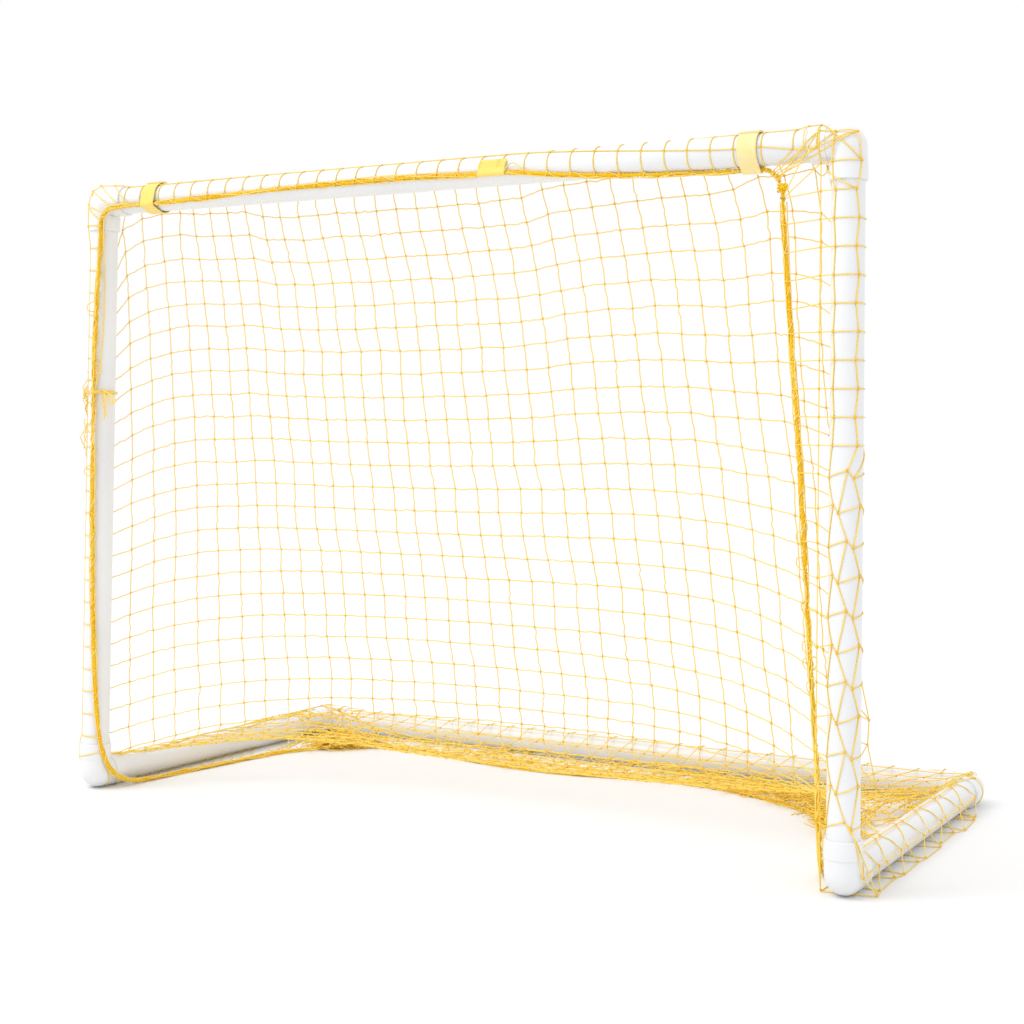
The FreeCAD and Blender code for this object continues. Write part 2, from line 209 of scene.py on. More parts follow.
class Bundle:
    """Cords and knots on their way into one mesh. ply is each point's turn round its cord and way along it."""

    def __init__(self):
        self.points, self.faces, self.ply, self.finishes, self.count = [], [], [], [], 0

    def add(self, points, faces, ply, finish=0):
        self.points.append(points)
        self.faces.extend([[corner + self.count for corner in face] for face in faces])
        self.ply.append(ply)
        self.finishes.extend([finish] * len(faces))
        self.count += len(points)

    def cords(self, paths, radius, sides=5, closed=False):
        """Round cords along paths, an array of cords by points by three."""
        paths = np.asarray(paths, float)
        cords, steps = paths.shape[:2]
        across, over = crossways(paths)
        turns = np.arange(sides) * 2 * math.pi / sides
        rim = across[:, :, None] * np.cos(turns)[:, None] + over[:, :, None] * np.sin(turns)[:, None]
        points = paths[:, :, None] + rim * radius
        along = np.cumsum(np.linalg.norm(np.diff(paths, axis=1, prepend=paths[:, :1]), axis=-1), axis=1)
        ply = np.zeros(points.shape)
        ply[..., 0], ply[..., 1] = np.cos(turns), np.sin(turns)
        ply[..., 2] = along[..., None]
        corners = np.arange(points[..., 0].size).reshape(cords, steps, sides)
        self.add(points.reshape(-1, 3), skin(corners, closed), ply.reshape(-1, 3))

    def build(self, name, *materials, body="root", slot="net"):
        mesh = bpy.data.meshes.new(name)
        mesh.from_pydata(np.concatenate(self.points).tolist(), [], self.faces)
        mesh.shade_smooth()
        ply = mesh.attributes.new("ply", "FLOAT_VECTOR", "POINT")
        ply.data.foreach_set("vector", np.concatenate(self.ply).astype(np.float32).ravel())
        for material in materials:
            mesh.materials.append(material)
        mesh.polygons.foreach_set("material_index", self.finishes)
        piece = add_to_scene(name, mesh)
        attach(piece, body)
        return piece


class Signal:
    """A value on its way through a material's nodes."""

    def __init__(self, tree, socket=None):
        self.tree, self.socket = tree, socket

    def node(self, kind, settings={}, inputs={}, output=0):
        made = self.tree.nodes.new(kind)
        for name, value in settings.items():
            setattr(made, name, value)
        for name, value in inputs.items():
            if isinstance(value, Signal):
                self.tree.links.new(value.socket, made.inputs[name])
            else:
                made.inputs[name].default_value = value
        return Signal(self.tree, made.outputs[output])

    def maths(self, operation, first, second=0.0):
        return self.node("ShaderNodeMath", {"operation": operation}, {0: first, 1: second})

    def __add__(self, other):
        return self.maths("ADD", self, other)

    def __sub__(self, other):
        return self.maths("SUBTRACT", self, other)

    def __rsub__(self, other):
        return self.maths("SUBTRACT", other, self)

    def __mul__(self, other):
        return self.maths("MULTIPLY", self, other)

    def sine(self):
        return self.maths("SINE", self)

    def cosine(self):
        return self.maths("COSINE", self)

    def between(self, low, high):
        """0 below low, 1 above high."""
        return self.node("ShaderNodeMapRange", {}, {"Value": self, "From Min": low, "From Max": high})

    def noise(self, scale, detail, **sockets):
        """Noise over this place."""
        sockets.update({"Vector": self, "Scale": scale, "Detail": detail})
        return self.node("ShaderNodeTexNoise", {}, sockets)

    def colours(self, dark, light):
        """dark where this is 0, light where it is 1. Each is a colour or a signal."""
        ends = [end if isinstance(end, Signal) else (*end, 1) for end in (dark, light)]
        return self.node("ShaderNodeMix", {"data_type": "RGBA"}, {0: self, 6: ends[0], 7: ends[1]}, 2)

    __radd__ = __add__
    __rmul__ = __mul__


def finish_of(name, **constants):
    """A material, its first signal, and its shader with these constants in its sockets."""
    material = bpy.data.materials.new(name)
    material.use_nodes = True
    shader = material.node_tree.nodes["Principled BSDF"]
    for socket, value in constants.items():
        shader.inputs[socket.replace("_", " ")].default_value = value
    return material, Signal(material.node_tree), shader


def dress(shader, colour, height, relief, strength, roughness):
    """Links what changes over a surface: its colour, its relief and its roughness."""
    bump = height.node("ShaderNodeBump", {}, {"Height": height, "Distance": relief, "Strength": strength})
    for socket, signal in (("Base Color", colour), ("Normal", bump), ("Roughness", roughness)):
        signal.tree.links.new(signal.socket, shader.inputs[socket])


def cord_finish(name, shade, tint, painted_groove_shade, lay, roughness, relief):
    """Twisted polyester yarn: slanting plies with painted shade in the grooves between them, a little uneven
    in dye.
    """
    material, start, shader = finish_of(name, Specular_IOR_Level=0.3, Sheen_Weight=0.1, Sheen_Roughness=0.4)
    ply = start.node("ShaderNodeAttribute", {"attribute_name": "ply"}, output=1)
    turn = [start.node("ShaderNodeSeparateXYZ", {}, {0: ply}, axis) for axis in range(3)]
    phase = turn[2] * (2 * math.pi / lay)
    slant = turn[0] * phase.cosine() + turn[1] * phase.sine()
    slant = 2.0 * slant * slant - 1.0
    place = start.node("ShaderNodeNewGeometry")
    fibre = place.noise(1400.0, 2.0)
    dyed = place.noise(9.0, 3.0).between(0.36, 0.64).colours(shade, tint)
    # in the grooves between the plies the colour is darkened to a painted shade
    dress(shader, slant.between(-1.0, 0.1).colours(painted_groove_shade, dyed), slant + fibre * 0.5, relief, 0.8,
          fibre * 0.25 + (roughness - 0.12))
    return material


rope_line = spaced(smooth_line(rope_route), int(rope_length / rope_step))
# the third colour is the painted shade in the grooves between the plies
rope_yarn = cord_finish("golden_polyester_rope", (1.0, 0.62, 0.0), (1.0, 0.74, 0.02), (1.0, 0.50, 0.0),
                        lay=0.0042, roughness=0.5, relief=0.0004)
strands = Bundle()
for strand in range(3):
    turns = np.arange(len(rope_line)) * rope_step * 2 * math.pi / strand_lay + strand * 2 * math.pi / 3
    strands.cords(wound_round(rope_line, turns, strand_offset), strand_radius, 6)
edge_rope = strands.build("rope_strands", rope_yarn, slot="rope")
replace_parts(edge_rope, "edge_rope")


# Rope knot. The rope's two ends are tied in one thick round knot below the crossbar, with
# a second turn of thin cord drawn tight over it.

knot_scale, knot_cord_radius, whipping_radius = 0.00255, 0.0034, 0.0013
knot_centre = np.array(in_mouth(0.76025, 0, bar_z - 0.072))
knot_turn = np.linspace(0, 2 * math.pi, 73)[:-1]
knot_path = np.stack([
    np.sin(knot_turn) + 2 * np.sin(2 * knot_turn),
    -np.sin(3 * knot_turn) * 1.25,
    np.cos(knot_turn) - 2 * np.cos(2 * knot_turn),
], -1) * knot_scale + knot_centre
knot = Bundle()
knot.cords(knot_path[None], knot_cord_radius, 10, closed=True)
for tilt in (-0.5, 0.1, 0.6):
    hoop = np.stack([np.cos(knot_turn), np.sin(knot_turn), np.sin(tilt) * np.cos(knot_turn)], -1)
    hoop = knot_centre + hoop * (0.0098, 0.0098, 0.0085) - (0, 0, 0.005 * tilt)
    knot.cords(hoop[None], whipping_radius, 6, closed=True)
corner_knot = knot.build("corner_knot", rope_yarn, slot="rope")
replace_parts(corner_knot, "rope_knot")


# Pipes. White PVC water pipe, 60 mm across, sawn to length and pushed into the elbows.
# It is drawn smooth, with a faint grain along it, small scuffs and a little dust.

def plastic_finish(name, shade, tint, grain, roughness, relief, coat):
    """Hard white plastic, a little mottled, with scuffs that have taken up dust."""
    material, start, shader = finish_of(name, Specular_IOR_Level=0.5, Coat_Weight=coat, Coat_Roughness=0.25)
    place = start.node("ShaderNodeNewGeometry")
    drawn = start.node("ShaderNodeMapping", {}, {"Vector": place, "Scale": grain}).noise(60.0, 3.0)
    scuff = place.noise(210.0, 5.0, Roughness=0.7)
    marks = scuff.between(0.66, 0.78) * place.noise(38.0, 6.0).between(0.5, 0.68)
    clean = place.noise(5.0, 4.0).between(0.32, 0.7).colours(shade, tint)
    dress(shader, (marks * 0.35).colours(clean, (0.52, 0.51, 0.48)), drawn * 0.6 + scuff * 0.4 - marks,
          relief, 0.5, drawn * 0.12 + marks * 0.25 + (roughness - 0.06))
    return material


def coat_with(material, nodes):
    for node in nodes:
        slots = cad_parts[node].material_slots
        if not slots:
            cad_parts[node].data.materials.append(material)
        for slot in slots:
            slot.material = material


pipe_shade, pipe_tint = (0.775, 0.785, 0.80), (0.825, 0.835, 0.848)
for way, grain, pipes in (("x", (0.08, 1, 1), ("crossbar_tube", "rear_base_tube")),
                          ("y", (1, 0.08, 1), ("left_base_tube", "right_base_tube")),
                          ("z", (1, 1, 0.08), ("left_post_tube", "right_post_tube"))):
    coat_with(plastic_finish(f"white_pipe_{way}", pipe_shade, pipe_tint, grain, roughness=0.38, relief=0.0002,
                             coat=0.15), pipes)


# Elbows. Six moulded PVC slip fittings, a touch brighter and glossier than the pipe, with
# the fine rippled skin that the mould leaves.

coat_with(plastic_finish("white_moulded_pvc", (0.79, 0.798, 0.812), (0.838, 0.843, 0.852), (1, 1, 1),
                         roughness=0.32, relief=0.00025, coat=0.25),
          [f"{end}_{side}_elbow" for end in ("top", "front", "rear") for side in ("left", "right")])


# Net. One rectangle of square 50 mm mesh, knotted from 2.3 mm polyester twine. Its edge is
# lashed to the rope. It is drawn over the crossbar and the posts from outside, under the
# base pipes, and hangs as a sloping back that turns forward along the ground.

mesh_side = 0.0508
columns, rows = 43, 49
left_fold, right_fold = 6, 7
twine_radius = 0.00115
twine_gap = twine_radius + 0.0001
pipe_radius, elbow_radius, elbow_leg = 0.03015, 0.035, 0.068
wrap_radius, elbow_wrap_radius = 0.0315, 0.0366
post_drop = 1.34
first_row_lift = {left_x: 0.045, right_x: 0.066}
strap_places = [middle("left_strap")[0], middle("right_strap")[0]]
left_bar_angles = {1: 112, 2: 24}
right_bar_angles = {1: 196, 2: 104, 3: 16}
diamond_row, bunched_row, folded_row = 13, 36, 42
chance = np.random.default_rng(7)

# the net's middle line from the rope over the bar, down the back, over the rear pipe and
# into the folds on the ground: millimetres behind the front posts, and above the ground
bar_front, bar_back = 190, 20
below_bar = [
    (45, 1318), (55, 1277), (76, 1228), (98, 1179), (108, 1130), (118, 1078), (128, 1027), (129, 979),
    (130, 929), (144, 877), (150, 824), (160, 772), (165, 724), (171, 675), (185, 622), (199, 577),
    (214, 529), (219, 484), (229, 441), (253, 390), (258, 351), (273, 313), (301, 264), (325, 229),
    (359, 180), (400, 140), (450, 110), (500, 85), (550, 70), (600, 60), (650, 55), (700, 50),
    (750, 50), (800, 50), (850, 60), (920, 71), (957, 35), (920, 3), (860, 6), (800, 10), (752, 20),
    (800, 32), (850, 28), (800, 16), (760, 6),
]
back_line = [(0, bar_z) + wrap_radius * bearing(angle) for angle in range(bar_front, bar_back - 1, -10)]
back_line += [(y / 1000, z / 1000) for y, z in below_bar]
fine_back = spaced(np.array([(0, y + front_y, z) for y, z in back_line]), 2000)
back_length = np.linalg.norm(np.diff(fine_back, axis=0), axis=1).sum()
bar_length = wrap_radius * math.radians(bar_front - bar_back)
back = spaced(fine_back, rows + 1)


def rope_stretch(first, last):
    """The rope's line between two of its route's points, from first to last."""
    ends = [int(np.linalg.norm(rope_line - rope_route[index], axis=1).argmin()) for index in (first, last)]
    return rope_line[ends[0]:ends[1] + 1] if ends[0] < ends[1] else rope_line[ends[1]:ends[0] + 1][::-1]


def round_axis(angles, radius, first, second):
    """Places round a pipe's axis. first and second are the axes that angles 0 and 90 point along."""
    places = np.zeros((len(angles), 3))
    for place, angle in zip(places, angles):
        place[[first, second]] = radius * bearing(angle)
    return places.tolist()


# where a row lies on the frame, from the rope outwards and round the pipe
at_rope, inside_post = [[0, 0, 0]], [[-0.045, -0.020, 0]]
left_post_wrap = at_rope + round_axis((209, 122, 75), wrap_radius, 0, 1)
left_base_wrap = at_rope + [[0, 0, -0.0335]] + round_axis((186, 122), wrap_radius, 0, 2)
right_base_wrap = at_rope + [
    [-0.045, 0, -0.0335], [0.004, 0, -0.0335], [0.050, 0, -0.0330], [0.036, 0, 0.004], [0.004, 0, 0.034]]
left_corner = {
    (1, 1): (-0.034, -0.018, -0.006), (2, 1): (-0.024, -0.014, 0.026), (3, 1): (-0.002, -0.012, 0.0366),
    (1, 2): (-0.034, -0.018, -0.056), (2, 2): (-0.034, 0.016, -0.026), (3, 2): (-0.014, 0.036, -0.010),
}

# where each column crosses the bar: the straps pass through the middle of a mesh
half_strap_mesh, first_even_x, even_run, squeeze = 0.0272, -0.803, 1.548, 0.03
first_even, last_even = left_fold - 1, columns - right_fold
even_share = np.linspace(0, 1, last_even - first_even + 1)
bar_places = np.r_[
    (left_x, left_x, left_x, left_x + 0.003, left_x + 0.040),
    first_even_x + even_run * (even_share - squeeze * even_share * (1 - even_share)),
    np.linspace(0.785, right_x + 0.03, columns - last_even + 1)[1:]]
strap_columns = []
for place in strap_places:
    nearest = int(np.abs((bar_places[:-1] + bar_places[1:]) / 2 - place).argmin())
    move = place - (bar_places[nearest] + bar_places[nearest + 1]) / 2
    near = np.exp(-((np.arange(columns + 1) - nearest - 0.5) / 3.0) ** 2)
    bar_places += move * near
    bar_places[nearest:nearest + 2] = place - half_strap_mesh, place + half_strap_mesh
    strap_columns += [nearest, nearest + 1]

top_stretch = rope_stretch(top_left_corner, 0)
by_x = top_stretch[np.argsort(top_stretch[:, 0])]
top_edge = np.stack([bar_places] + [np.interp(bar_places, by_x[:, 0], by_x[:, axis]) for axis in (1, 2)], -1)
top_edge[:first_even] = spaced(top_stretch[:int(0.115 / rope_step)], first_even + 1)[:-1]
top_edge[last_even + 1:] = spaced(top_stretch[-12:], columns - last_even + 1)[1:]
ground_edge = spaced(rope_stretch(rear_left_corner, rear_right_corner), columns + 1)

# how far each row has come down the post and along the base: on the right the lower meshes
# are pulled into long diamonds, and the last rows lie bunched on the ground
left_travel = np.arange(rows + 1) * mesh_side
right_travel = np.cumsum([0] + [mesh_side] * diamond_row + [0.062] * 10
                         + [0.072] * (bunched_row - diamond_row - 10) + [0.004] * (rows - bunched_row))


def edge_places(stretch, x, travel, highest=math.inf):
    """Where rows are lashed to the rope: at their own height beside the post, then evenly on the ground."""
    stretch = spaced(stretch, 1000)
    heights = np.minimum(bar_z + first_row_lift[x] - travel, highest)
    upright = int((travel < post_drop - 0.03).sum())
    falling = np.minimum.accumulate(stretch[:, 2])
    marks = np.interp(-heights[:upright], -falling, np.arange(1000))
    marks = np.r_[marks, np.linspace(marks[-1], 999, rows + 2 - upright)[1:]]
    marks[1:8] += np.arange(1, 8) * 0.6
    return stretch[np.clip(marks, 0, 999).astype(int)]


left_edge = edge_places(rope_stretch(top_left_corner, rear_left_corner), left_x, left_travel)
right_edge = edge_places(rope_stretch(len(rope_route) - 1, rear_right_corner), right_x, right_travel, 1.256)
rope_turn = np.degrees(np.arctan2(top_edge[:, 2] - bar_z, top_edge[:, 1] - front_y)) % 360
rope_turn[:first_even], rope_turn[last_even:] = rope_turn[first_even], 268
head_start = wrap_radius * np.radians(np.clip(rope_turn - bar_front, -6, 90))


def clamped(value):
    return min(max(value, 0), 1)


def lifted(place, lowest):
    """The place, raised to this height if it is lower."""
    return np.array((place[0], place[1], max(place[2], lowest)))


def part_way(first, last, step, steps):
    return first + (last - first) * step / steps


def on_frame(x, travel, whole):
    """Where a row that has come this far lies: beside its post, or along the base behind it."""
    if travel < post_drop:
        return np.array((x, front_y, bar_z + first_row_lift[x] - travel))
    return np.array((x, front_y + (travel - post_drop) / (whole - post_drop) * (rear_y - front_y), base_z))


def left_places_of(row):
    """Places of one row's knots round the left pipes, from the rope outwards."""
    travel = left_travel[row]
    wrap = left_post_wrap if travel < post_drop else left_base_wrap
    return on_frame(left_x, travel, left_travel[-1]) + wrap


def right_places_of(row):
    """The same round the right pipes. The rows are pulled to and fro in turn, which makes diamonds."""
    travel, way = right_travel[row], (-1) ** row
    centre = on_frame(right_x, travel, right_travel[-1])
    if travel >= post_drop:
        places = centre + right_base_wrap
        places[3:, 0] += chance.uniform(-0.006, 0.010, 3) * (1, 0.4, 0.4)
        places[2:, 1] += 0.018 * way * np.array((0.3, 1, -1, 1))
        return places
    if row < diamond_row:
        turns, rise = np.array((238, 322, 48)) + 6 * way * np.array((-0.6, 1, -0.6)), 0
    else:
        to_and_fro = np.array((1, -1, 1, -1))
        turns, rise = np.array((226, 276, 328, 50)) + 15 * way * to_and_fro, 0.007 * way * to_and_fro
    places = centre + (at_rope + inside_post + round_axis(turns, wrap_radius, 0, 1))
    places[2:, 2] += rise
    places[-1] += np.array((0.026, 0.075, 0)) * clamped((row - 18) / 7)
    return places


knots = np.zeros((columns + 1, rows + 1, 3))
loose, bar_rows = np.ones(knots.shape[:2], bool), np.zeros(knots.shape[:2], bool)
back_columns = columns - left_fold - right_fold
touching_radius, past_strap_radius, strap_reach = 0.0318, 0.0405, 0.055
for row in range(rows + 1):
    left_places, right_places = left_places_of(row), right_places_of(row)
    left_count, right_count = len(left_places) - 1, len(right_places) - 1
    for column in range(columns + 1):
        # the back hangs between two turns, from which the sides come forward to the posts
        beyond, x = columns - column, bar_places[column]
        travel = row / rows * back_length - head_start[column] * (1 - clamped((row - 22) / 18))
        hang = fine_back[int(clamped(travel / back_length) * 1999)]
        reach = max(hang[1] - front_y, 0)
        low = clamped((0.20 - hang[2]) / 0.13)
        left_turn = hang + (left_x + max(0.112 - 0.1 * reach, 0.06) * (1 - low) - 0.006 * low, 0, 0)
        right_turn = hang + (right_x - max(0.13 - 0.2 * reach, 0.02 + 0.33 * reach) * (1 - low), 0, 0)
        fold = left_fold + 7 * clamped((row - 17) / 11) * clamped((rear_y - 0.03 - hang[1]) / 0.25)
        if column <= left_count:
            place = left_places[column]
        elif beyond <= right_count:
            place = right_places[beyond]
        elif column < fold:
            fold_place = part_way(left_turn, right_turn, fold - left_fold, back_columns)
            place = part_way(left_places[-1], fold_place, column - left_count, fold - left_count)
        elif beyond < right_fold:
            place = part_way(right_places[-1], right_turn, beyond - right_count, right_fold - right_count)
        else:
            place = part_way(left_turn, right_turn, column - left_fold, back_columns)
        held = column <= left_count or beyond <= right_count

        # low on the left the net lies in a ridge along the base pipe
        if column > left_count and row > 5:
            inward = place[0] - left_x
            in_corner = 0 < inward < 0.34 and place[1] + 1.24 * inward < 0.44
            ridge = 0.082 + 0.29 * inward if in_corner else 0.066 - 0.2 * inward
            place = lifted(place, ridge)
        if row >= folded_row and column <= left_count:
            place = np.array([place[0], hang[1], (place[2] + hang[2]) / 2])
        if row >= bunched_row and 0 < beyond <= right_count:
            place = np.array((right_x - 0.05 - 0.028 * (right_count - beyond) + chance.normal(0, 0.012),
                              front_y + chance.uniform(0.50, 0.86), chance.uniform(0.006, 0.045)))
            held = False

        # the first rows are drawn over the bar
        over_bar = left_bar_angles if column < first_even else right_bar_angles
        near_corner = left_count < column < first_even or last_even < column and beyond >= right_count
        if first_even <= column <= last_even and row > 0:
            if travel < bar_length:
                turn = math.radians(bar_front) - travel / wrap_radius
                out = wrap_radius * np.array((math.cos(turn), math.sin(turn)))
                place = np.array((x, front_y + out[0], bar_z + out[1]))
                held = bar_rows[column, row] = True
            else:
                place = np.array((x + (place[0] - x) * min((travel - bar_length) / 0.35, 1), *place[1:]))
        elif row in over_bar and near_corner:
            on_pipe = abs(x) < right_x - elbow_leg
            place = np.array(on_bar(x, over_bar[row], wrap_radius if on_pipe else elbow_wrap_radius))
            held = bar_rows[column, row] = True
        if (column, row) in left_corner:
            place, held = np.array((left_x, front_y, bar_z)) + left_corner[column, row], True

        # beside a strap the twines keep clear, so that it can slide
        if column in strap_columns and row > 0 and travel < bar_length + strap_reach:
            away = place[1:] - (front_y, bar_z)
            if np.hypot(*away) > touching_radius:
                away *= max(past_strap_radius / np.hypot(*away), 1)
            place, held = np.array((x, *(away + (front_y, bar_z)))), True
        loose[column, row] = not held
        knots[column, row] = place
rear_rows = np.nonzero(back[:, 1] - front_y > 0.875)[0]
loose[:, rear_rows] = False
ground_rows = np.arange(rear_rows[-1] + 1, rows)
knots[1:-1, ground_rows] += chance.normal(0, 0.014, (columns - 1, len(ground_rows), 3))
knots[:, 0], knots[:, rows], knots[0], knots[columns] = top_edge, ground_edge, left_edge, right_edge
loose[0] = loose[-1] = False
loose[:, 0] = loose[:, -1] = False
knots[loose] += chance.normal(0, 0.003, (int(loose.sum()), 3))

corner_x = left_x, left_x, right_x, right_x
front_pipes = np.array([(x, front_y, z) for x, z in zip(corner_x, (base_z, bar_z, bar_z, base_z))])
base_pipes = np.array([(x, y, base_z) for x, y in zip(corner_x, (front_y, rear_y, rear_y, front_y))])
rods = []
for run in (front_pipes, base_pipes):
    for near_end, far_end in zip(run, run[1:]):
        leg = unit(far_end - near_end) * elbow_leg
        rods += [(near_end + leg, far_end - leg, pipe_radius), (near_end, near_end + leg, elbow_radius),
                 (far_end, far_end - leg, elbow_radius)]


def clear_of_frame(points, gap):
    """Moves points that are in a pipe or the ground to gap outside it, and says which they were."""
    shape, points = points.shape, points.reshape(-1, 3).copy()
    touched = points[:, 2] < gap
    for near_end, far_end, radius in rods:
        run = far_end - near_end
        low, high = np.minimum(near_end, far_end) - 0.05, np.maximum(near_end, far_end) + 0.05
        chosen = np.nonzero(np.all((points > low) & (points < high), 1))[0]
        share = np.clip((points[chosen] - near_end) @ run / (run @ run), 0, 1)
        away = points[chosen] - (near_end + share[:, None] * run)
        short = radius + gap - np.linalg.norm(away, axis=1)
        hit = short > 0
        points[chosen[hit]] += unit(away[hit]) * short[hit, None]
        touched[chosen[hit]] = True
    points[:, 2] = np.maximum(points[:, 2], gap)
    return points.reshape(shape), touched.reshape(shape[:-1])


def pulled(first, second, length, first_free, second_free):
    """Two knots brought back to within a twine's length of each other, and no nearer than a third of it."""
    gap = second - first
    distance = np.linalg.norm(gap, axis=-1)
    error = np.where(distance > length, distance - length, np.minimum(distance - 0.35 * length, 0))
    pull = (error / np.maximum(distance, 1e-9) / np.maximum(first_free + second_free, 1e-9))[..., None] * gap
    return first + pull * first_free[..., None], second - pull * second_free[..., None]


# the loose knots settle under their own weight, held by their twines
moments, sweeps = 150, 12
weight, hold, carried, fastest, knot_gap = 0.0012, 0.03, 0.97, 0.02, 0.0015
row_twine = mesh_side * (1 + chance.normal(0, 0.02, (columns, rows + 1)))
column_twine = mesh_side * (1 + chance.normal(0, 0.02, (columns + 1, rows)))
free = loose.astype(float)
knots[1:-1, 1:-1] = clear_of_frame(knots[1:-1, 1:-1], 0.0013)[0]
hung, before = knots.copy(), knots.copy()
for moment in range(moments):
    drift = np.clip((knots - before) * carried, -fastest, fastest)
    before = knots.copy()
    knots = knots + (drift + (0, 0, -weight) + hold * (hung - knots)) * free[..., None]
    for sweep in range(sweeps):
        for odd in (0, 1):
            c = np.arange(odd, columns, 2)
            knots[c], knots[c + 1] = pulled(knots[c], knots[c + 1], row_twine[c], free[c], free[c + 1])
            r = np.arange(odd, rows, 2)
            knots[:, r], knots[:, r + 1] = pulled(
                knots[:, r], knots[:, r + 1], column_twine[:, r], free[:, r], free[:, r + 1])
    moved, touched = clear_of_frame(knots, knot_gap)
    gripped = 0.4 * moved + 0.6 * clear_of_frame(before, knot_gap)[0]
    knots = np.where((touched & loose)[..., None], gripped, np.where(loose[..., None], moved, knots))


def slack_twines(near_knots, far_knots, lengths):
    """The line of each twine between its knots. What is spare sags, or curls to one side on the ground."""
    chord = far_knots - near_knots
    distance = np.linalg.norm(chord, axis=-1)
    spare = np.clip((1 - distance / lengths - 0.10) / 0.20, 0.12, 1)
    sag = np.minimum(0.44 * np.sqrt(np.maximum(lengths ** 2 - distance ** 2, 0)), 0.018) * spare
    lying = (near_knots[..., 2] + far_knots[..., 2] < 0.12)[..., None]
    fall = chance.normal(0, 1, chord.shape) * np.where(lying, (1, 1, 0.5), (0.5, 0.5, 0.2))
    fall = fall - np.where(lying, 0, (0, 0, 1))
    fall = unit(fall - dot(fall, unit(chord)) * unit(chord))
    steps = np.linspace(0, 1, 6)[:, None]
    lines = near_knots[..., None, :] + chord[..., None, :] * steps
    lines = lines + (fall * sag[..., None])[..., None, :] * 4 * steps * (1 - steps)
    lines[..., 1:-1, :] += chance.normal(0, 0.0008, lines[..., 1:-1, :].shape)
    return clear_of_frame(lines, twine_gap)[0]


def taut_twines(near_knots, far_knots):
    """The line of each twine that is drawn tight over a pipe between its knots."""
    steps = np.linspace(0, 1, 9)[:, None]
    lines = near_knots[..., None, :] + (far_knots - near_knots)[..., None, :] * steps
    for pull in range(20):
        lines = clear_of_frame(lines, twine_gap)[0]
        lines[..., 1:-1, :] = (lines[..., :-2, :] + lines[..., 2:, :]) / 2
    return clear_of_frame(lines, twine_gap)[0]


pinned = ~loose
pinned[:, ground_rows] = False
twine_runs = (
    (pinned[:-1] & pinned[1:],
     slack_twines(knots[:-1], knots[1:], row_twine), taut_twines(knots[:-1], knots[1:])),
    (pinned[:, :-1] & pinned[:, 1:],
     slack_twines(knots[:, :-1], knots[:, 1:], column_twine), taut_twines(knots[:, :-1], knots[:, 1:])),
)

# spare net lies in a heap along the rope on the ground: loops of twine one over another,
# thickest behind the left end of the rope's curve and inside the right post
heap_loops, heap_end, clump_end = 520, 0.88, 0.1
ground_rope = rope_line[(rope_line[:, 2] < 0.006) & (rope_line[:, 0] > -0.76) & (rope_line[:, 0] < 0.80)]
heap = []
for loop in range(heap_loops):
    spot = chance.uniform(0, 1), chance.normal(0.055, 0.016), chance.normal(0.74, 0.11)
    share = chance.choice(spot, p=(0.38, 0.24, 0.38))
    share = abs(share) if share < heap_end else max(2 * heap_end - share, 0.5)
    foot = ground_rope[int(share * (len(ground_rope) - 1))]
    depth, height = (0.03, 0.045) if share < clump_end else (0.12, 0.034)
    centre = foot + (chance.normal(0, 0.012), abs(chance.normal(0, depth * 0.5)) + 0.004, 0)
    high = max(0.004, height * (1 - abs(centre[1] - foot[1]) / (depth * 1.6)))
    way = np.cumsum(chance.normal(0, 0.5, 8)) + chance.uniform(0, 2 * math.pi)
    step = np.stack([np.cos(way), np.sin(way), chance.normal(0, 0.28, 8)], -1) * chance.uniform(0.010, 0.017)
    line = spaced(centre + np.cumsum(step, axis=0) - step.mean(0) * 4, 12)
    line[1:-1] = (line[:-2] + 2 * line[1:-1] + line[2:]) / 4
    line[:, 2] = np.clip(line[:, 2] + chance.uniform(0, high), 0.0013, 0.050)
    heap.append(line)
heap = clear_of_frame(np.array(heap), twine_gap)[0]

# each knot is a small hard lump, longer along the twine that was tied last
lump_turns, lump_tilts = np.meshgrid(np.arange(6) * math.pi / 3, np.radians((-52, 0, 52)))
lump = np.stack([
    np.cos(lump_turns) * np.cos(lump_tilts), np.sin(lump_turns) * np.cos(lump_tilts), np.sin(lump_tilts)], -1)
lump = np.r_[lump.reshape(-1, 3), [(0, 0, -1), (0, 0, 1)]]
lump_faces = [[low + turn, low + (turn + 1) % 6, low + 6 + (turn + 1) % 6, low + 6 + turn]
              for low in (0, 6) for turn in range(6)]
lump_faces += [[18, (turn + 1) % 6, turn] for turn in range(6)]
lump_faces += [[19, 12 + turn, 12 + (turn + 1) % 6] for turn in range(6)]

ahead = unit(np.gradient(rope_line, axis=0))
# the third colour of each yarn is the painted shade in the grooves between its plies
twine_yarn = cord_finish("yellow_polyester_twine", (1.0, 0.74, 0.12), (1.0, 0.84, 0.25), (1.0, 0.60, 0.03),
                         lay=0.006, roughness=0.55, relief=0.0002)
knot_yarn = cord_finish("tight_polyester_knot", (1.0, 0.58, 0.02), (1.0, 0.70, 0.09), (0.88, 0.42, 0.01),
                        lay=0.003, roughness=0.55, relief=0.0002)


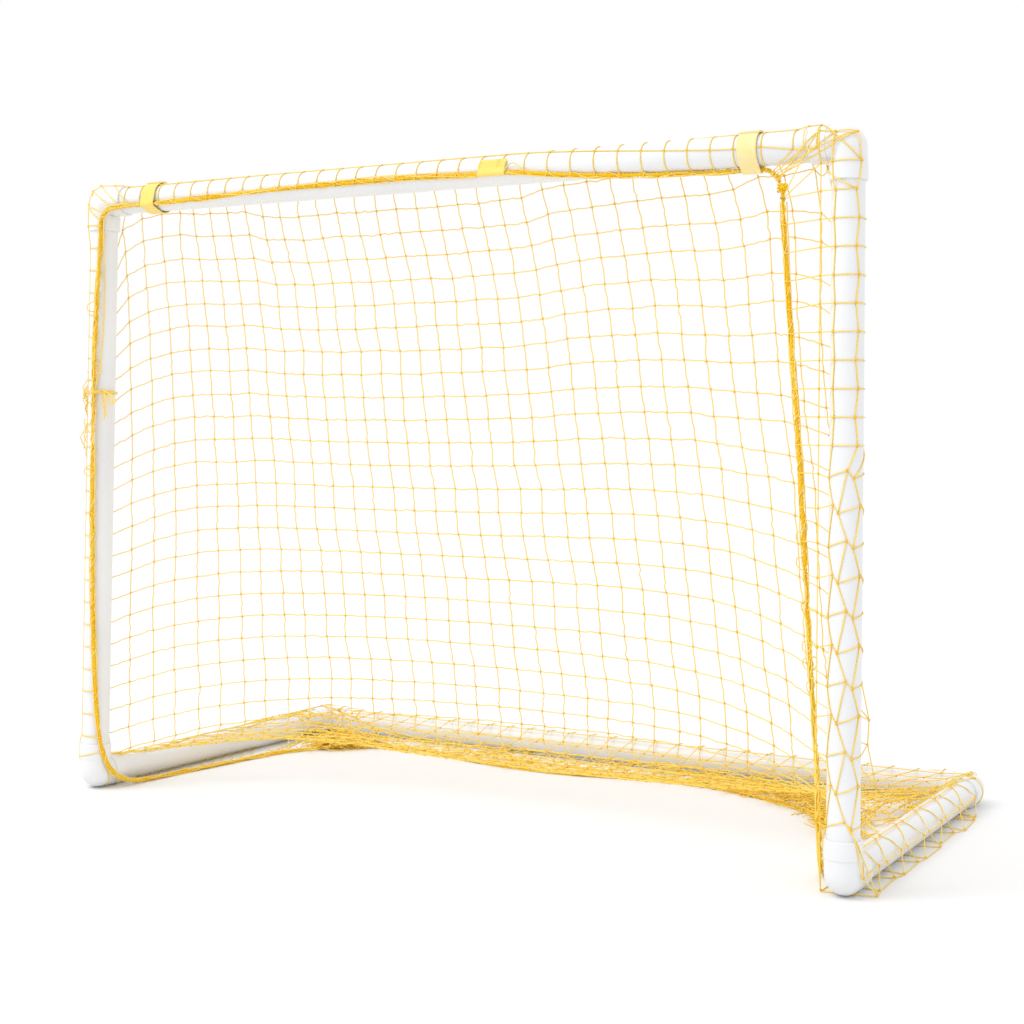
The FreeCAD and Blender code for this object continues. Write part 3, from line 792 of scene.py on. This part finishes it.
def net_part(name, chosen, replaced, spare=()):
    """The twines, knots and rope lashings of one part of the net. chosen says which knots are its own."""
    part = Bundle()
    for (tight, slack_lines, taut_lines), own in zip(twine_runs, (chosen[:-1], chosen[:, :-1])):
        part.cords(slack_lines[own & ~tight], twine_radius, 5)
        if (own & tight).any():
            part.cords(taut_lines[own & tight], twine_radius, 5)
    if len(spare):
        part.cords(spare, twine_radius, 4)
    for column, row in np.argwhere(chosen):
        place = knots[column, row]
        if loose[column, row] or 0 < column < columns and 0 < row < rows:
            turn = chance.uniform(0, math.pi, 2)
            drawn_tight = 0.8 if bar_rows[column, row] else chance.uniform(0.9, 1.15)
            spin = Matrix.Rotation(turn[0], 3, "Z") @ Matrix.Rotation(turn[1], 3, "Y")
            solid = lump * (np.array((0.0031, 0.0024, 0.0022)) * drawn_tight) @ np.array(spin).T
            part.add(solid + lifted(place, 0.0036), lump_faces, lump * (1, 1, 0.002), 1)
        else:
            nearest = int(np.linalg.norm(rope_line - place, axis=1).argmin())
            side = unit(np.cross(ahead[nearest], (0.31, 0.52, 0.79)))
            turns = np.linspace(0, 2 * math.pi, 11)[:-1, None]
            hoop = side * np.cos(turns) + np.cross(ahead[nearest], side) * np.sin(turns)
            hoop = rope_line[nearest] + 0.0046 * hoop + ahead[nearest] * 0.0012 * np.cos(turns)
            part.cords(clear_of_frame(hoop, twine_radius)[0][None], twine_radius, 5, closed=True)
    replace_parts(part.build(name, twine_yarn, knot_yarn), *replaced)


column_of, row_of = np.indices(loose.shape)
on_left, on_right = column_of < left_fold, column_of > columns - right_fold
foot_row = int(np.nonzero(back[:, 2] < 0.13)[0][0])
between = ~on_left & ~on_right
net_part("net_curtain_upper", between & (row_of < foot_row // 2), ["net_crossbar_wrap"])
net_part("net_curtain_lower", between & (row_of >= foot_row // 2) & (row_of < foot_row), ["net_back"])
net_part("net_foot", between & (row_of >= foot_row), ["net_rear_wrap", "net_rear_gather", "net_right_gather"],
         heap)

# a short untidy tangle hangs on the outside of the left post
tangle = []
wave = np.linspace(0, 1, 16)
sway = np.sin(wave * math.pi)
for drop in np.sort(chance.uniform(0.34, 0.56, 12)):
    place = np.array((left_x - 0.030, front_y - 0.012, bar_z - drop)) + chance.normal(0, 0.003, 3)
    outward = sway * (0.006 + 0.003 * np.sin(wave * 9 + drop * 40))
    line = place + np.stack([-outward, sway * np.cos(wave * 7 + drop * 60) * 0.007, -0.07 * wave], -1)
    tangle.append(line + chance.normal(0, 0.0006, line.shape))
tangle = clear_of_frame(np.array(tangle), twine_radius + 0.0003)[0]
net_part("net_left", on_left, ["net_left_side", "net_left_post_wrap", "net_left_hem"], tangle)
net_part("net_right", on_right, ["net_right_side", "net_right_post_wrap", "net_front_flap", "net_right_hem"])


# Lashing. A thin cord that runs round and round the edge rope and holds the net's border
# meshes to it. Beside the left post a slack length of it hangs free down to the tie.

lashing_radius, lashing_offset = 0.00105, 0.0047
gathered_radius, gathered_offset = 0.0011, 0.0052
cord_gap = 0.0012
lashing_steps, gathered_steps = 1500, 900
unevenness = 1 + 0.35 * np.sin(np.arange(lashing_steps) / 17.0)
lashing_turns = np.cumsum(2 * math.pi / 11 * unevenness)
lashing_line = spaced(rope_line, lashing_steps)
tab_x = middle("rope_tab")[0]


def snugness(line):
    """How close the cord lies to the rope: drawn in under the straps and inside the sewn tab."""
    up_on_bar = line[:, 2] > bar_z - 0.045
    under_strap = up_on_bar & (np.abs(line[:, :1] - strap_places).min(1) < 0.034)
    under_tab = up_on_bar & (np.abs(line[:, 0] - tab_x) < 0.033)
    return np.where(under_tab, 0.5, np.where(under_strap, 0.92, 1))[None, :, None]


lashing = Bundle()
wound = wound_round(lashing_line, lashing_turns, lashing_offset * snugness(lashing_line))
lashing.cords(clear_of_frame(wound, cord_gap)[0][:, 4:-4], lashing_radius, 5)
gathered = spaced(rope_line, gathered_steps)
near = snugness(gathered)
for strand in range(4):
    turns = np.cumsum(chance.normal(0, 0.22, gathered_steps)) + strand * 1.6
    bulk = np.convolve(chance.normal(0, 1, gathered_steps + 30), np.ones(31) / 31, "valid")[None, :, None]
    bulk = np.where(near < 1, 0.0046 * near, np.clip(gathered_offset + 0.006 * bulk, 0.0044, 0.0075))
    wander = clear_of_frame(wound_round(gathered, turns, bulk), cord_gap)[0]
    lashing.cords(wander[:, 6:-2], gathered_radius, 5)


def lay_cord(bundle, points, count, gap, radius, sides=6):
    """One cord on a smooth line through these places, gap clear of the pipes."""
    line = clear_of_frame(spaced(smooth_line(points), count), gap)[0]
    bundle.cords(line[None], radius, sides)


# here and there the cord has worked loose and stands off in a loop
for share in np.r_[chance.uniform(0.875, 0.925, 9), chance.uniform(0.235, 0.33, 8)]:
    foot = int(share * (len(rope_line) - 40))
    lean = unit(chance.normal(0, 1, 3) * (1, 0.6, 0) + (-0.8 if share > 0.5 else 0.7, -0.5, 0))
    reach = chance.uniform(0.010, 0.024)
    stand_off = (0, 0.004), (2, reach * 0.8), (6, reach), (10, reach * 0.7), (9, 0.004)
    loose_loop = [rope_line[foot + step] + lean * distance for step, distance in stand_off]
    lay_cord(lashing, loose_loop, 18, 0.0013, gathered_radius, sides=5)
slack = [
    in_mouth(-0.8535, -0.0375, bar_z - 0.030), in_mouth(-0.8525, -0.0385, bar_z - 0.075),
    *(on_post(*place) for place in (
        (0.150, 44, 0.0345), (0.230, 48, 0.0345), (0.310, 44, 0.0345), (0.380, 36, 0.036),
        (0.425, 24, 0.042)))]
lay_cord(lashing, slack, 70, 0.0014, 0.00125)
rope_lashing = lashing.build("rope_lashing", twine_yarn, slot="rope")


# Straps. Two loops of woven hook-and-loop webbing, 38 mm wide, hold the net and the rope to
# the crossbar. Each passes through one mesh behind the bar and laps on itself on top.

strap_width, strap_thickness = 0.038, 0.0017
strap_centre_radius, rope_clearance = 0.0342, 0.0079
lap_start, lap_rise = 392, 28
weave_pitch = 0.0014


def webbing_finish(name, shade, tint, painted_groove_shade):
    """Woven polyester webbing: ribs across and along with painted shade between them, fuzz and a slightly
    uneven dye.
    """
    material, start, shader = finish_of(name, Specular_IOR_Level=0.25, Sheen_Weight=0.5, Sheen_Roughness=0.5)
    weave = start.node("ShaderNodeAttribute", {"attribute_name": "ply"}, output=1)
    across_band, along_band = (start.node("ShaderNodeSeparateXYZ", {}, {0: weave}, axis) for axis in (0, 1))
    warp = (across_band * (2 * math.pi / weave_pitch)).sine()
    weft = (along_band * (2 * math.pi / (weave_pitch * 1.6)) + warp * 1.2).sine()
    place = start.node("ShaderNodeNewGeometry")
    fuzz = place.noise(900.0, 3.0)
    height = warp * weft * 0.5 + fuzz * 0.7
    dyed = place.noise(30.0, 3.0).between(0.3, 0.7).colours(shade, tint)
    # between the ribs of the weave the colour is darkened to a painted shade
    dress(shader, height.between(-0.35, 0.4).colours(painted_groove_shade, dyed), height, 0.0004, 0.7, fuzz * 0.2 + 0.6)
    return material


def band(path, width, thickness, centre_x):
    """A flat strip along a path of (y, z) places, with a slightly thicker woven edge."""
    half, edge, flat = width / 2, thickness / 2, thickness * 0.42
    profile = [(-half, 0), (-half + 0.0004, edge), (-half + 0.0022, edge), (-half + 0.0032, flat),
               (-half / 3, flat), (half / 3, flat), (half - 0.0032, flat), (half - 0.0022, edge),
               (half - 0.0004, edge), (half, 0)]
    profile += [(w, -t) for w, t in profile[-2:0:-1]]
    ahead = unit(np.gradient(path, axis=0))
    out = np.stack([ahead[:, 1], -ahead[:, 0]], -1)
    points, ply = [], []
    along = np.r_[0, np.cumsum(np.linalg.norm(np.diff(path, axis=0), axis=1))]
    for (y, z), (out_y, out_z), distance in zip(path, out, along):
        for w, t in profile:
            points.append((centre_x + w, y + out_y * t, z + out_z * t))
            ply.append((w, distance, 0))
    strip = Bundle()
    strip.add(np.array(points), skin(np.arange(len(points)).reshape(1, len(path), -1)), np.array(ply))
    return strip


def round_both(big_radius, small_centre, small_radius, angles, rise):
    """A taut line round two circles, the bigger one at the origin. rise is added as it goes."""
    places = []
    for angle, more in zip(angles, rise):
        out = bearing(angle)
        near, far = out * (big_radius + more), np.array(small_centre) + out * (small_radius + more)
        places.append(far if far @ out > near @ out else near)
    return np.array(places)


def strap(name, centre_x, rope_angle, material, lap_end):
    """One strap: it goes from the bar's top down before it, and comes up behind to lap over its start."""
    angles = np.arange(62.0, 360 + lap_end, 2.0)
    rise = np.clip((angles - lap_start) / lap_rise, 0, 1) * (strap_thickness + 0.0001)
    path = round_both(strap_centre_radius, 0.035 * bearing(rope_angle), rope_clearance, angles, rise)
    path = spaced(path, 190) + (front_y, bar_z)
    strip = band(path, strap_width, strap_thickness, centre_x)
    for line in (3, 6):
        (y, z), (back_y, back_z) = path[-line], path[-line - 1]
        out = unit(np.array((z - back_z, back_y - y))) * -strap_thickness * 0.45
        for stitch in np.arange(-0.0155, 0.0160, 0.0038):
            thread = [(centre_x + stitch + step, y - out[0] * lift, z - out[1] * lift)
                      for step, lift in ((-0.0014, 0.4), (-0.0007, 1.1), (0.0007, 1.1), (0.0014, 0.4))]
            strip.cords(np.array(thread)[None], 0.00035, 4)
    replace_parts(strip.build(name + "_webbing", material, body=name, slot="webbing"), name)


# the third colour of each webbing is the painted shade between the ribs of its weave
golden_webbing = webbing_finish("golden_webbing", (1.0, 0.74, 0.13), (1.0, 0.80, 0.22), (0.95, 0.60, 0.05))
pale_webbing = webbing_finish("pale_webbing", (1.0, 0.82, 0.36), (1.0, 0.86, 0.46), (0.97, 0.70, 0.20))
strap("left_strap", strap_places[0], 208, golden_webbing, 118)
strap("right_strap", strap_places[1], 270, pale_webbing, 124)


# Rope tab. A blank piece of webbing, 62 mm wide, folded round the edge rope to the right of
# the bar's middle and sewn to itself. A loop of the lashing cord stands beside it.

tab_width, tab_thickness = 0.062, 0.0016
tab_rope = 0.0366 * bearing(196)
tab_path = [0.0344 * bearing(angle) for angle in (148, 156, 164, 172, 179)]
tab_path += [tab_rope + 0.0051 * bearing(angle) for angle in range(40, -221, -20)]
tab_path += [0.0366 * bearing(angle) for angle in (177, 171, 165)]
tab_strip = band(spaced(np.array(tab_path), 60) + (front_y, bar_z), tab_width, tab_thickness, tab_x)
for stitch_x in (0.012, 0.017, -0.027):
    for angle in np.arange(153.0, 186.0, 6.0):
        radius = 0.0353 if angle < 165 else 0.0376
        thread = [on_bar(tab_x + stitch_x, angle + step, radius + lift)
                  for step, lift in ((-2.0, -0.0004), (-1.0, 0.0003), (1.0, 0.0003), (2.0, -0.0004))]
        tab_strip.cords(np.array(thread)[None], 0.0004, 4)
tab_loop = [on_bar(tab_x + x, angle, radius) for x, angle, radius in (
    (0.031, 196, 0.0425), (0.033, 184, 0.0395), (0.042, 168, 0.0372), (0.056, 170, 0.0372),
    (0.066, 184, 0.0400), (0.074, 196, 0.0425))]
lay_cord(tab_strip, tab_loop, 30, 0.0013, 0.0012)
sewn_tab = tab_strip.build("sewn_tab", golden_webbing, slot="webbing")
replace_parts(sewn_tab, "rope_tab")


# Post tie. Three turns of thin cord round the left post and the rope, 0.9 m up, tied off in
# a small bow whose two loops and two tails hang inside the post.

tie_radius, bow_radius, tie_turns = 0.0012, 0.0013, 3
tie_height = middle("left_post_tie")[2]
tie_across, tie_along = bearing(14)
tie_rope = (0.0396 * tie_along, -0.0396 * tie_across)
tie_angles = np.arange(0, tie_turns * 360 + 1, 6.0)
tie_path = round_both(0.0345, tie_rope, 0.0052, tie_angles, np.zeros(len(tie_angles)))
tie_climb = tie_height - 0.0028 + np.linspace(0, 0.0056, len(tie_path))
tie = Bundle()
tie.cords(np.column_stack([tie_path + (left_x, front_y), tie_climb])[None], tie_radius, 6)
post_tie = tie.build("post_tie", twine_yarn, slot="tie")
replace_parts(post_tie, "left_post_tie")

bow_seat = np.array((*on_post(0, 52, 0.0385)[:2], tie_height))
bow = Bundle()
for loop in (
        [(0, 0, 0), (8, -8, 2), (24, -12, -4), (36, -8, -12), (38, -3, -21), (30, 0, -25), (18, 0, -19),
         (8, -2, -8), (0, 0, 0)],
        [(0, 0, 0), (6, -6, -4), (12, -9, -18), (20, -6, -30), (27, -1, -28), (24, 2, -16), (12, 1, -6),
         (0, 0, 0)],
        [(0, 0, 0), (4, -6, 6), (9, -8, -14), (4, -5, -38), (11, -3, -55)],
        [(0, 0, 0), (-3, -5, -4), (-2, -6, -24), (6, -4, -42), (2, -2, -64)]):
    lay_cord(bow, bow_seat + np.array(loop) / 1000, 36, 0.0014, bow_radius)
bow_turn = np.linspace(0, 2 * math.pi, 13)[:-1, None]
for tilt in (-0.4, 0.5):
    wide, high = np.array((0.0032, 0, 0)), np.array((0, 0.0016 * tilt, 0.0034))
    line = wide * np.cos(bow_turn) + high * np.sin(bow_turn)
    bow.cords((bow_seat + line)[None], bow_radius, 6, closed=True)
tie_bow = bow.build("tie_bow", twine_yarn, slot="tie")
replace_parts(tie_bow, "left_tie_bow")


# Floor and light. A plain pale studio floor under even light from all round, with a large
# lamp and a soft sun, both high up before the mouth and to its left.

ground = bpy.data.meshes.new("studio_floor")
ground.from_pydata([(-60, -60, 0), (60, -60, 0), (60, 60, 0), (-60, 60, 0)], [], [(0, 1, 2, 3)])
floor = add_to_scene("studio_floor", ground)
floor_finish = finish_of(
    "pale_floor", Base_Color=(0.86, 0.86, 0.865, 1), Roughness=0.9, Specular_IOR_Level=0.1)[0]
ground.materials.append(floor_finish)

world = bpy.data.worlds.new("studio")
world.use_nodes = True
for socket, value in (("Color", (1, 1, 1, 1)), ("Strength", 1.0)):
    world.node_tree.nodes["Background"].inputs[socket].default_value = value
bpy.context.scene.world = world
bpy.context.scene.view_settings.view_transform = "Standard"

lamp_place, lamp_aim = Vector((-2.6, -3.6, 4.4)), Vector((0, 0, 0.5))
lamp = bpy.data.lights.new("key_light", "AREA")
lamp.size, lamp.energy = 2.6, 40
lamp_turn = (lamp_aim - lamp_place).to_track_quat("-Z", "Y").to_matrix().to_4x4()
add_to_scene("key_light", lamp).matrix_world = Matrix.Translation(lamp_place) @ lamp_turn
sun = bpy.data.lights.new("soft_sun", "SUN")
sun.energy, sun.angle = 0.75, math.radians(35)
add_to_scene("soft_sun", sun).rotation_euler = (math.radians(28), math.radians(-24), 0)
